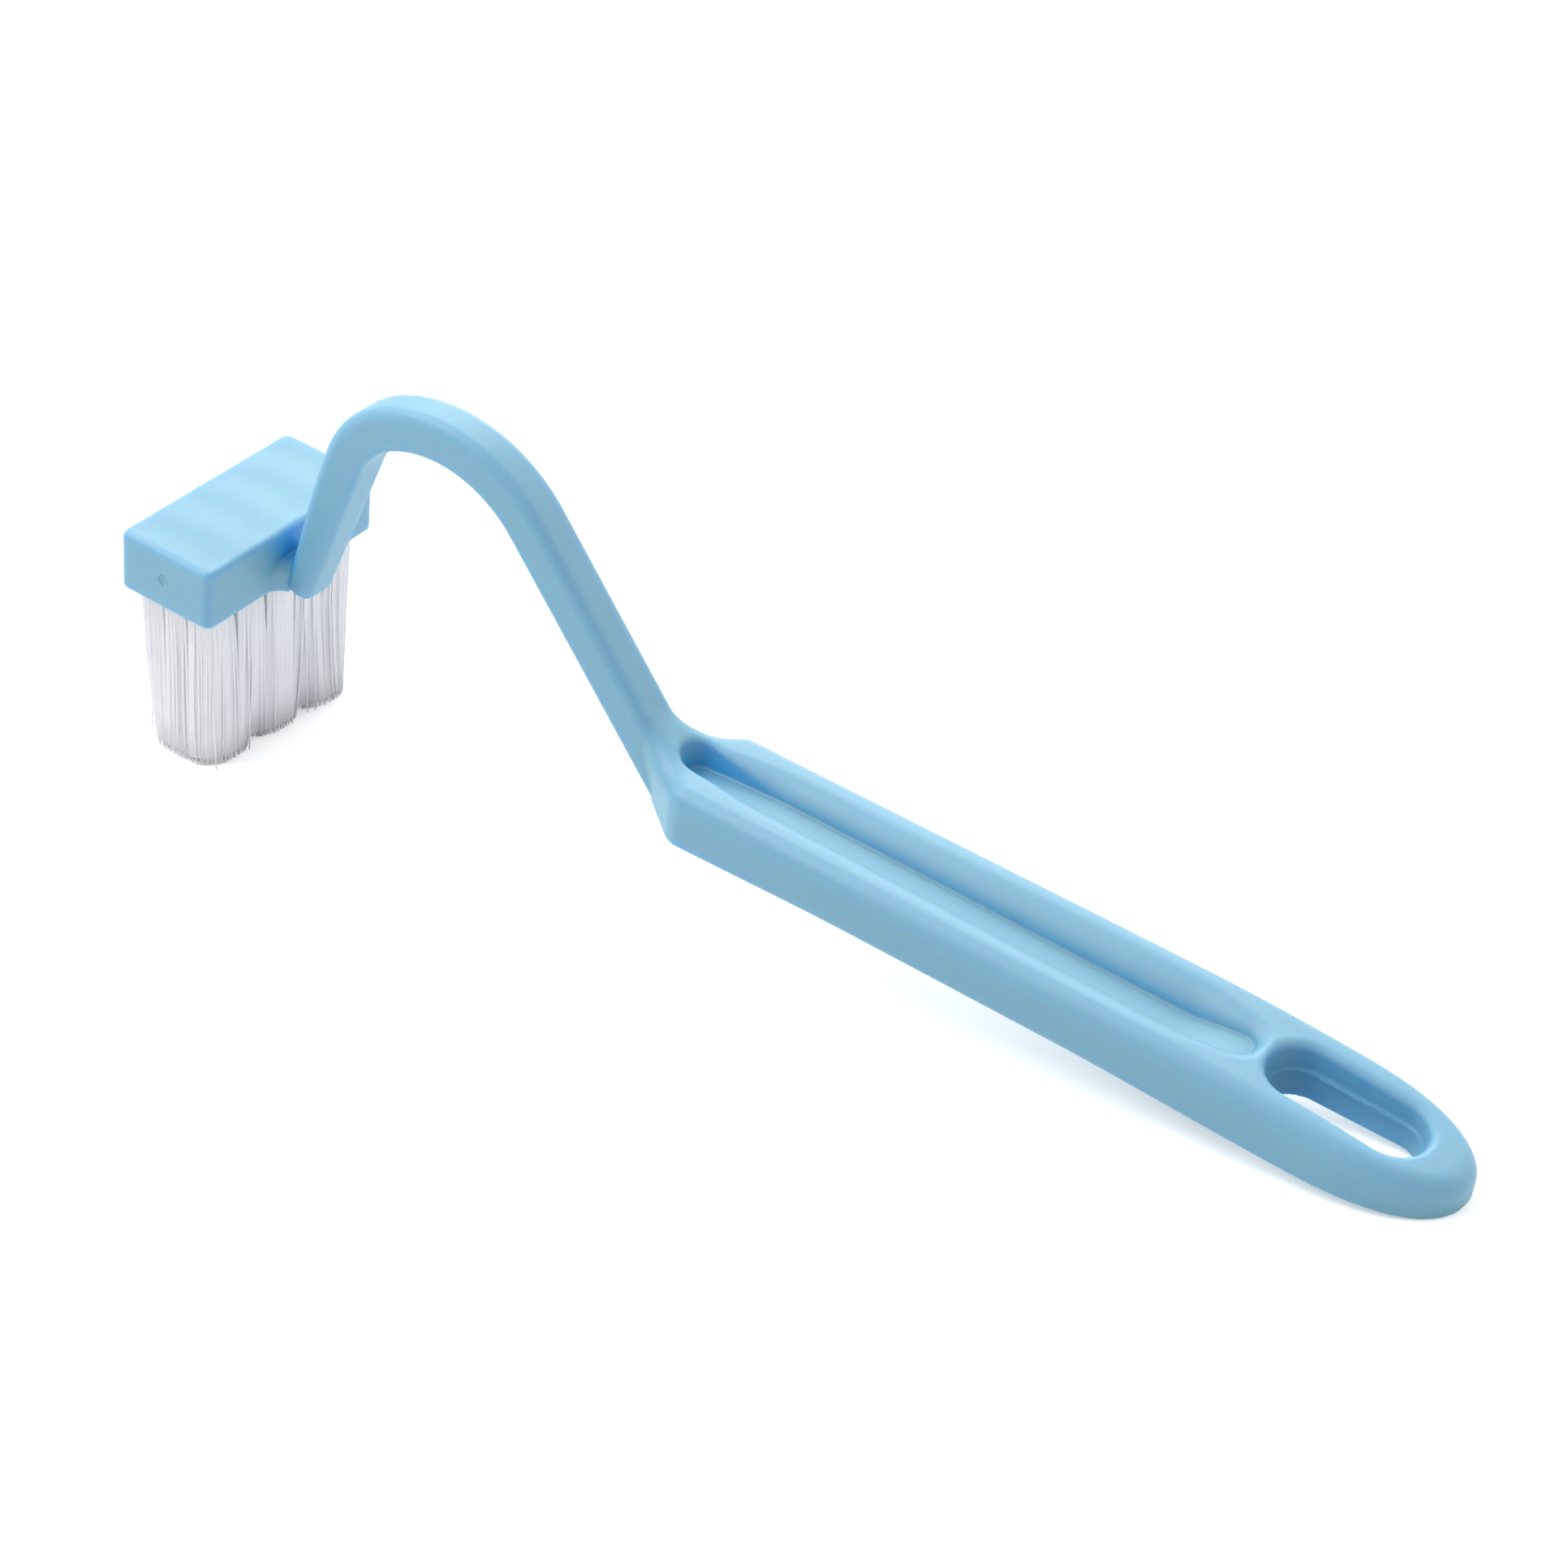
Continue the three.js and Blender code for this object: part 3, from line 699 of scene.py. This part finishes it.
def plastic_material(finishes):
    """Clouded plastic that scatters light inside, with painted shade: a darker, deeper blue mixed into the
    colour where the surface is hollow.
    """
    material, shader = shaded(
        "sky_blue_polypropylene", finishes.plastic, finishes.plastic_deep, roughness=(0.48, 0.54),
        cloud_scale=70.0, grain_scale=1800.0, stretch=0.25, bump_strength=0.08, bump_distance=0.0001)
    shader.inputs["IOR"].default_value = 1.65
    shader.inputs["Subsurface Weight"].default_value = 1.0
    shader.inputs["Subsurface Radius"].default_value = (0.06, 0.4, 1.0)
    shader.inputs["Subsurface Scale"].default_value = 0.004
    nodes = material.node_tree.nodes
    links = material.node_tree.links
    tone = shader.inputs["Base Color"].links[0].from_socket
    # Painted shade: ambient occlusion of the body mixes the darker blue into the base colour in hollows such
    # as the groove, the slot and the corner beside the neck.
    hollow = nodes.new("ShaderNodeAmbientOcclusion")
    hollow.only_local = True
    hollow.samples = PAINTED_SHADE_SAMPLES
    hollow.inputs["Distance"].default_value = PAINTED_SHADE_REACH
    painted_shade_openness = nodes.new("ShaderNodeMapRange")
    painted_shade_openness.inputs["From Min"].default_value = PAINTED_SHADE_CLOSED
    painted_shade_openness.inputs["From Max"].default_value = PAINTED_SHADE_OPEN
    links.new(hollow.outputs["AO"], painted_shade_openness.inputs["Value"])
    painted_shade_mix = nodes.new("ShaderNodeMix")
    painted_shade_mix.data_type = "RGBA"
    painted_shade_mix.inputs["A"].default_value = (*finishes.plastic_recess, 1.0)
    links.new(painted_shade_openness.outputs["Result"], painted_shade_mix.inputs["Factor"])
    links.new(tone, painted_shade_mix.inputs["B"])
    links.new(painted_shade_mix.outputs["Result"], shader.inputs["Base Color"])
    return material


NYLON_THROUGH = 0.15


def nylon_material(finishes):
    """Filament that lets part of the light through."""
    material, shader = shaded(
        "clear_nylon", finishes.nylon, finishes.nylon_shade, roughness=(0.3, 0.42),
        cloud_scale=400.0, grain_scale=3000.0, stretch=0.1, bump_strength=0.05, bump_distance=0.00002)
    shader.inputs["IOR"].default_value = 1.53
    nodes = material.node_tree.nodes
    links = material.node_tree.links
    through = nodes.new("ShaderNodeBsdfTranslucent")
    through.inputs["Color"].default_value = (*finishes.nylon, 1.0)
    mixed = nodes.new("ShaderNodeMixShader")
    mixed.inputs["Fac"].default_value = NYLON_THROUGH
    links.new(shader.outputs["BSDF"], mixed.inputs[1])
    links.new(through.outputs["BSDF"], mixed.inputs[2])
    links.new(mixed.outputs["Shader"], nodes["Material Output"].inputs["Surface"])
    return material


STEEL_DULL_SHARE = 0.85


def steel_material(finishes):
    dull = tuple(STEEL_DULL_SHARE * value for value in finishes.steel)
    material, shader = shaded(
        "drawn_wire_steel", finishes.steel, dull, roughness=(0.28, 0.42),
        cloud_scale=900.0, grain_scale=6000.0, stretch=1.0, bump_strength=0.1, bump_distance=0.00002)
    shader.inputs["Metallic"].default_value = 1.0
    return material


# Operators


class BRUSH_OT_body(bpy.types.Operator):
    """Builds the moulded body: head, neck and grip in one skin"""

    bl_idname = "brush.body"
    bl_label = "Moulded Body"

    normal_probe = 0.15
    even_rounds = 3
    margin = 1.2
    fine = 0.4
    middling = 0.5
    coarse = 0.9
    past_foot = 8.0
    before_grip = 6.0
    past_shoulder = 18.0
    before_groove_end = 12.0

    def execute(self, context):
        settings = context.scene.toilet_brush
        shape = BodyShape(settings)
        half = shape.head.width / 2 + self.margin
        leg = shape.foot[0] + self.past_foot
        shoulder = shape.grip_start - self.before_grip
        handle = shape.grip_start + self.past_shoulder
        end = shape.groove_end - self.before_groove_end
        xs = stations(
            (-shape.front - self.margin, leg, self.fine),
            (leg, shoulder, self.middling),
            (shoulder, handle, self.fine),
            (handle, end, self.coarse),
            (end, shape.tip + self.margin, self.fine))
        ys = stations((-half, half, self.fine))
        over_arch = shape.neck.rise + 2.0 * shape.neck.depth
        zs = stations((shape.underside - self.margin, over_arch, self.fine))
        points, faces = skin(shape, xs, ys, zs)
        points = settle(shape, points)
        for _ in range(self.even_rounds):
            points = settle(shape, even_out(points, faces))
        body = new_piece(
            "body_moulding", shape.lie.to_frame(points), faces.tolist(), plastic_material(settings.finishes),
            ["moulded_body"])
        normals = slope_at(shape, points, self.normal_probe) @ shape.lie.turn.T
        normals /= np.linalg.norm(normals, axis=1)[:, None]
        body.data.normals_split_custom_set_from_vertices(normals.tolist())
        return {"FINISHED"}


class BRUSH_OT_bristles(bpy.types.Operator):
    """Builds the bristle tufts, one piece for each row"""

    bl_idname = "brush.bristles"
    bl_label = "Bristle Tufts"

    sides = 5
    rings = 10
    fan_power = 0.1
    gather_power = 0.25
    drift_power = 2.0
    squareness = 0.92
    crowding = 1.6
    outward = 0.3
    tuft_lean = 0.15
    floor_gap = 0.05
    core_length = 0.97
    flute_points = 4
    flute_depth = 0.05
    tip_girth = 0.7

    def execute(self, context):
        settings = context.scene.toilet_brush
        shape = BodyShape(settings)
        draws = np.random.default_rng(shape.tufts.seed)
        material = nylon_material(settings.finishes)
        for row in range(shape.tufts.rows):
            points = []
            faces = []
            for column in range(shape.tufts.columns):
                lean = draws.normal(0.0, self.tuft_lean, 2)
                self.add_core(points, faces, shape, row, column, lean)
                for line in self.filament_lines(shape, draws, row, column, lean):
                    self.add_filament(points, faces, line, shape.tufts.filament_radius)
            points = shape.lie.to_frame(np.concatenate(points))
            new_piece(
                f"bristle_tufts_{row + 1}", points, faces, material,
                [f"bristle_row_{row + 1}"])
        return {"FINISHED"}

    def paths(self, shape, row, column, lean, offsets, hold, shares):
        """Places of filaments that start at offsets in their hole, at shares of the way to their tips."""
        tufts = shape.tufts
        out = np.array([row - (tufts.rows - 1) / 2, column - (tufts.columns - 1) / 2])
        middle = out * np.array([tufts.row_pitch, tufts.column_pitch])
        spread = np.array([tufts.spread_along, tufts.spread_across])
        flared = self.squared(offsets) * spread / tufts.root_radius
        spread_out = (middle + flared) * np.array([1.0, tufts.gather])
        tips = self.clumped(tufts, spread_out + lean, hold)
        mouth = tufts.root_sink / (tufts.root_sink + tufts.length)
        below = np.maximum(0.0, (shares - mouth) / (1.0 - mouth))[:, None, None]
        fan = below ** self.fan_power
        drawn = below ** self.gather_power * np.array([0.0, 1.0 - tufts.gather])
        drift = below ** self.drift_power
        return (middle + offsets + fan * (flared - offsets)) * (1.0 - drawn) + drift * (tips - spread_out)

    def squared(self, offsets):
        """Moves places in a round hole out towards the corners of a square."""
        reach = np.maximum(np.linalg.norm(offsets, axis=1), 1e-9)
        side = np.abs(offsets).max(1) / reach
        return offsets * (1.0 - self.squareness + self.squareness / side)[:, None]

    def clumped(self, tufts, tips, hold):
        """Draws tips that lie past the oval of their clump in to it, and leans them towards the grip."""
        limit = (tufts.clumps - 1) / 2
        clump = np.clip(np.round(tips[:, 1] / tufts.clump_pitch + limit), 0, tufts.clumps - 1) - limit
        centre = np.stack([np.zeros(len(tips)), clump * tufts.clump_pitch], 1)
        around = tips - centre
        past = np.linalg.norm(around / np.array([tufts.clump_along, tufts.clump_across]), axis=1)
        tips = centre + around * (1.0 - hold * (1.0 - 1.0 / np.maximum(past, 1.0)))[:, None]
        tips[:, 0] += tufts.sweep * (0.5 + tips[:, 1] / (tufts.clumps * tufts.clump_pitch))
        return tips

    def heights(self, shape, tips, rise, shares):
        """Heights from inside the hole down to the trimmed tips, kept above the floor."""
        tufts = shape.tufts
        top = -shape.head.height + tufts.root_sink
        floor = shape.lie.floor_height(tips[:, 0]) + self.floor_gap
        lowest = np.maximum(-shape.head.height - tufts.length, floor)
        return top + (lowest + rise - top) * shares[:, None]

    def filament_lines(self, shape, draws, row, column, lean):
        tufts = shape.tufts
        number = np.arange(tufts.filaments)
        turn = number * math.pi * (3.0 - math.sqrt(5.0))
        reach = ((number + 0.5) / tufts.filaments) ** self.outward * tufts.root_radius
        offsets = np.stack([reach * np.cos(turn), reach * np.sin(turn)], 1)
        hold = np.where(draws.random(tufts.filaments) < tufts.strays, 0.0, tufts.clump_hold)
        shares = np.linspace(0.0, 1.0, self.rings) ** self.crowding
        lines = np.empty((self.rings, tufts.filaments, 3))
        lines[..., :2] = self.paths(shape, row, column, lean, offsets, hold, shares)
        bow = draws.normal(0.0, tufts.bow, (tufts.filaments, 2))
        lines[..., :2] += (np.sin(math.pi * shares) * shares)[:, None, None] * bow
        rise = draws.uniform(0.0, tufts.trim_error, tufts.filaments)
        lines[..., 2] = self.heights(shape, lines[-1], rise, shares)
        return np.moveaxis(lines, 1, 0)

    def add_core(self, points, faces, shape, row, column, lean):
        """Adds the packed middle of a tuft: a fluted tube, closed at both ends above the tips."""
        tufts = shape.tufts
        around = self.flute_points * tufts.core_flutes
        turn = 2.0 * math.pi * np.arange(around) / around
        flutes = 1.0 + self.flute_depth * np.cos(tufts.core_flutes * turn)
        reach = tufts.root_radius * tufts.core_share * flutes
        offsets = np.stack([reach * np.cos(turn), reach * np.sin(turn)], 1)
        shares = self.core_length * np.linspace(0.0, 1.0, self.rings) ** self.crowding
        rings = np.empty((self.rings, around, 3))
        rings[..., :2] = self.paths(shape, row, column, lean, offsets, tufts.clump_hold, shares)
        rings[..., 2] = self.heights(shape, rings[-1], tufts.trim_error, shares)
        base = sum(len(block) for block in points)
        points.append(rings.reshape(-1, 3))
        self.add_tube_faces(faces, base, around)

    def add_filament(self, points, faces, line, radius):
        """Adds a thin tube along a line, closed at both ends."""
        base = sum(len(block) for block in points)
        around = 2.0 * math.pi * np.arange(self.sides) / self.sides
        circle = np.stack([np.cos(around), np.sin(around), np.zeros(self.sides)], 1)
        girth = np.full(self.rings, radius)
        girth[-1] *= self.tip_girth
        tube = line[:, None, :] + girth[:, None, None] * circle[None, :, :]
        points.append(tube.reshape(-1, 3))
        self.add_tube_faces(faces, base, self.sides)

    def add_tube_faces(self, faces, base, around):
        for ring in range(self.rings - 1):
            for side in range(around):
                a = base + ring * around + side
                b = base + ring * around + (side + 1) % around
                faces.append((b, a, a + around, b + around))
        faces.append(tuple(base + side for side in range(around)))
        last = base + (self.rings - 1) * around
        faces.append(tuple(last + side for side in reversed(range(around))))


class BRUSH_OT_anchors(bpy.types.Operator):
    """Gives the flat wire anchors in the tuft holes their steel"""

    bl_idname = "brush.anchors"
    bl_label = "Tuft Anchors"

    def execute(self, context):
        material = steel_material(context.scene.toilet_brush.finishes)
        anchors = [node for name, node in frame["nodes"].items() if name.startswith("anchor_")]
        if not anchors:
            raise RuntimeError("the frame holds no anchors")
        for anchor in anchors:
            anchor.data.materials.clear()
            anchor.data.materials.append(material)
        return {"FINISHED"}


class BRUSH_OT_stage(bpy.types.Operator):
    """Sets out the floor, the lamps, the world and the camera"""

    bl_idname = "brush.stage"
    bl_label = "Stage"

    camera_place = (0.25019, -0.35603, 0.31322)
    camera_turn = (56.4501, 0.3073, 34.8385)
    lamp_distance = 1.25
    front_from = (210, 55)
    back_from = (118, 35)
    side_from = (50, 30)
    floor_half = 4.0
    floor_roughness = 0.9
    sensor_width = 36.0
    clip_start = 0.01

    def execute(self, context):
        stage = context.scene.toilet_brush.stage
        context.scene.view_settings.view_transform = "Standard"
        self.lay_floor(context, stage)
        self.light_world(context, stage)
        self.hang_lamp(context, "front_lamp", self.front_from, stage.lamp_size, stage.front_power)
        self.hang_lamp(context, "back_lamp", self.back_from, stage.lamp_size, stage.back_power)
        self.hang_lamp(context, "side_lamp", self.side_from, stage.lamp_size, stage.side_power)
        self.set_camera(context, stage)
        return {"FINISHED"}

    def seen_white(self, tree):
        """A value of one for rays that see the background: from the camera, off gloss or through clear."""
        path = tree.nodes.new("ShaderNodeLightPath")
        seen = path.outputs["Is Camera Ray"]
        for ray in ("Is Glossy Ray", "Is Transmission Ray"):
            either = tree.nodes.new("ShaderNodeMath")
            either.operation = "MAXIMUM"
            tree.links.new(seen, either.inputs[0])
            tree.links.new(path.outputs[ray], either.inputs[1])
            seen = either.outputs[0]
        return seen

    def lay_floor(self, context, stage):
        material = bpy.data.materials.new("pale_floor")
        material.use_nodes = True
        tree = material.node_tree
        shader = tree.nodes["Principled BSDF"]
        shader.inputs["Base Color"].default_value = (*stage.floor, 1.0)
        shader.inputs["Roughness"].default_value = self.floor_roughness
        shader.inputs["Specular IOR Level"].default_value = 0.0
        shader.inputs["Emission Color"].default_value = (1.0, 1.0, 1.0, 1.0)
        glow = tree.nodes.new("ShaderNodeMath")
        glow.operation = "MULTIPLY"
        glow.inputs[1].default_value = stage.floor_glow
        tree.links.new(self.seen_white(tree), glow.inputs[0])
        tree.links.new(glow.outputs[0], shader.inputs["Emission Strength"])
        half = self.floor_half
        mesh = bpy.data.meshes.new("floor")
        corners = [(-half, -half, 0.0), (half, -half, 0.0), (half, half, 0.0), (-half, half, 0.0)]
        mesh.from_pydata(corners, [], [(0, 1, 2, 3)])
        mesh.materials.append(material)
        floor = bpy.data.objects.new("floor", mesh)
        context.scene.collection.objects.link(floor)

    def light_world(self, context, stage):
        world = bpy.data.worlds.new("white_studio")
        world.use_nodes = True
        background = world.node_tree.nodes["Background"]
        background.inputs["Color"].default_value = (1.0, 1.0, 1.0, 1.0)
        level = world.node_tree.nodes.new("ShaderNodeMath")
        level.operation = "MAXIMUM"
        level.inputs[1].default_value = stage.world
        world.node_tree.links.new(self.seen_white(world.node_tree), level.inputs[0])
        world.node_tree.links.new(level.outputs[0], background.inputs["Strength"])
        context.scene.world = world

    def hang_lamp(self, context, name, direction, size, power):
        """Hangs a round soft lamp at an azimuth and elevation, in degrees, and aims it at the brush."""
        turn, rise = [math.radians(value) for value in direction]
        level = math.cos(rise)
        place = self.lamp_distance * Vector((level * math.cos(turn), level * math.sin(turn), math.sin(rise)))
        data = bpy.data.lights.new(name, "AREA")
        data.shape = "DISK"
        data.size = size
        data.energy = power
        lamp = bpy.data.objects.new(name, data)
        lamp.location = place
        lamp.rotation_euler = (-place).to_track_quat("-Z", "Y").to_euler()
        context.scene.collection.objects.link(lamp)

    def set_camera(self, context, stage):
        data = bpy.data.cameras.new("camera")
        data.sensor_width = self.sensor_width
        data.lens = stage.lens
        data.clip_start = self.clip_start
        camera = bpy.data.objects.new("camera", data)
        camera.location = self.camera_place
        camera.rotation_euler = [math.radians(value) for value in self.camera_turn]
        context.scene.collection.objects.link(camera)
        context.scene.camera = camera


class BRUSH_PT_sidebar(bpy.types.Panel):
    """Lists the pieces of the brush and their settings"""

    bl_idname = "BRUSH_PT_sidebar"
    bl_label = "Toilet Brush"
    bl_space_type = "VIEW_3D"
    bl_region_type = "UI"
    bl_category = "Toilet Brush"

    def draw(self, context):
        layout = self.layout
        for operator in OPERATORS:
            layout.operator(operator.bl_idname)
        settings = context.scene.toilet_brush
        for part in ("head", "neck", "grip", "groove", "slot", "tufts", "finishes", "stage"):
            group = getattr(settings, part)
            box = layout.box()
            box.label(text=part.capitalize())
            for item in group.bl_rna.properties:
                if item.identifier not in ("rna_type", "name"):
                    box.prop(group, item.identifier)


GROUPS = (
    HeadSizes, NeckSizes, GripSizes, GrooveSizes, SlotSizes, TuftSizes, Finishes, StageSettings,
    BrushSettings)
OPERATORS = (BRUSH_OT_body, BRUSH_OT_bristles, BRUSH_OT_anchors, BRUSH_OT_stage)


def register():
    for group in (*GROUPS, *OPERATORS, BRUSH_PT_sidebar):
        bpy.utils.register_class(group)
    bpy.types.Scene.toilet_brush = PointerProperty(type=BrushSettings)


def unregister():
    del bpy.types.Scene.toilet_brush
    for group in reversed((*GROUPS, *OPERATORS, BRUSH_PT_sidebar)):
        bpy.utils.unregister_class(group)


def main():
    register()
    bpy.ops.brush.body()
    bpy.ops.brush.bristles()
    bpy.ops.brush.anchors()
    bpy.ops.brush.stage()


if __name__ == "__main__":
    main()
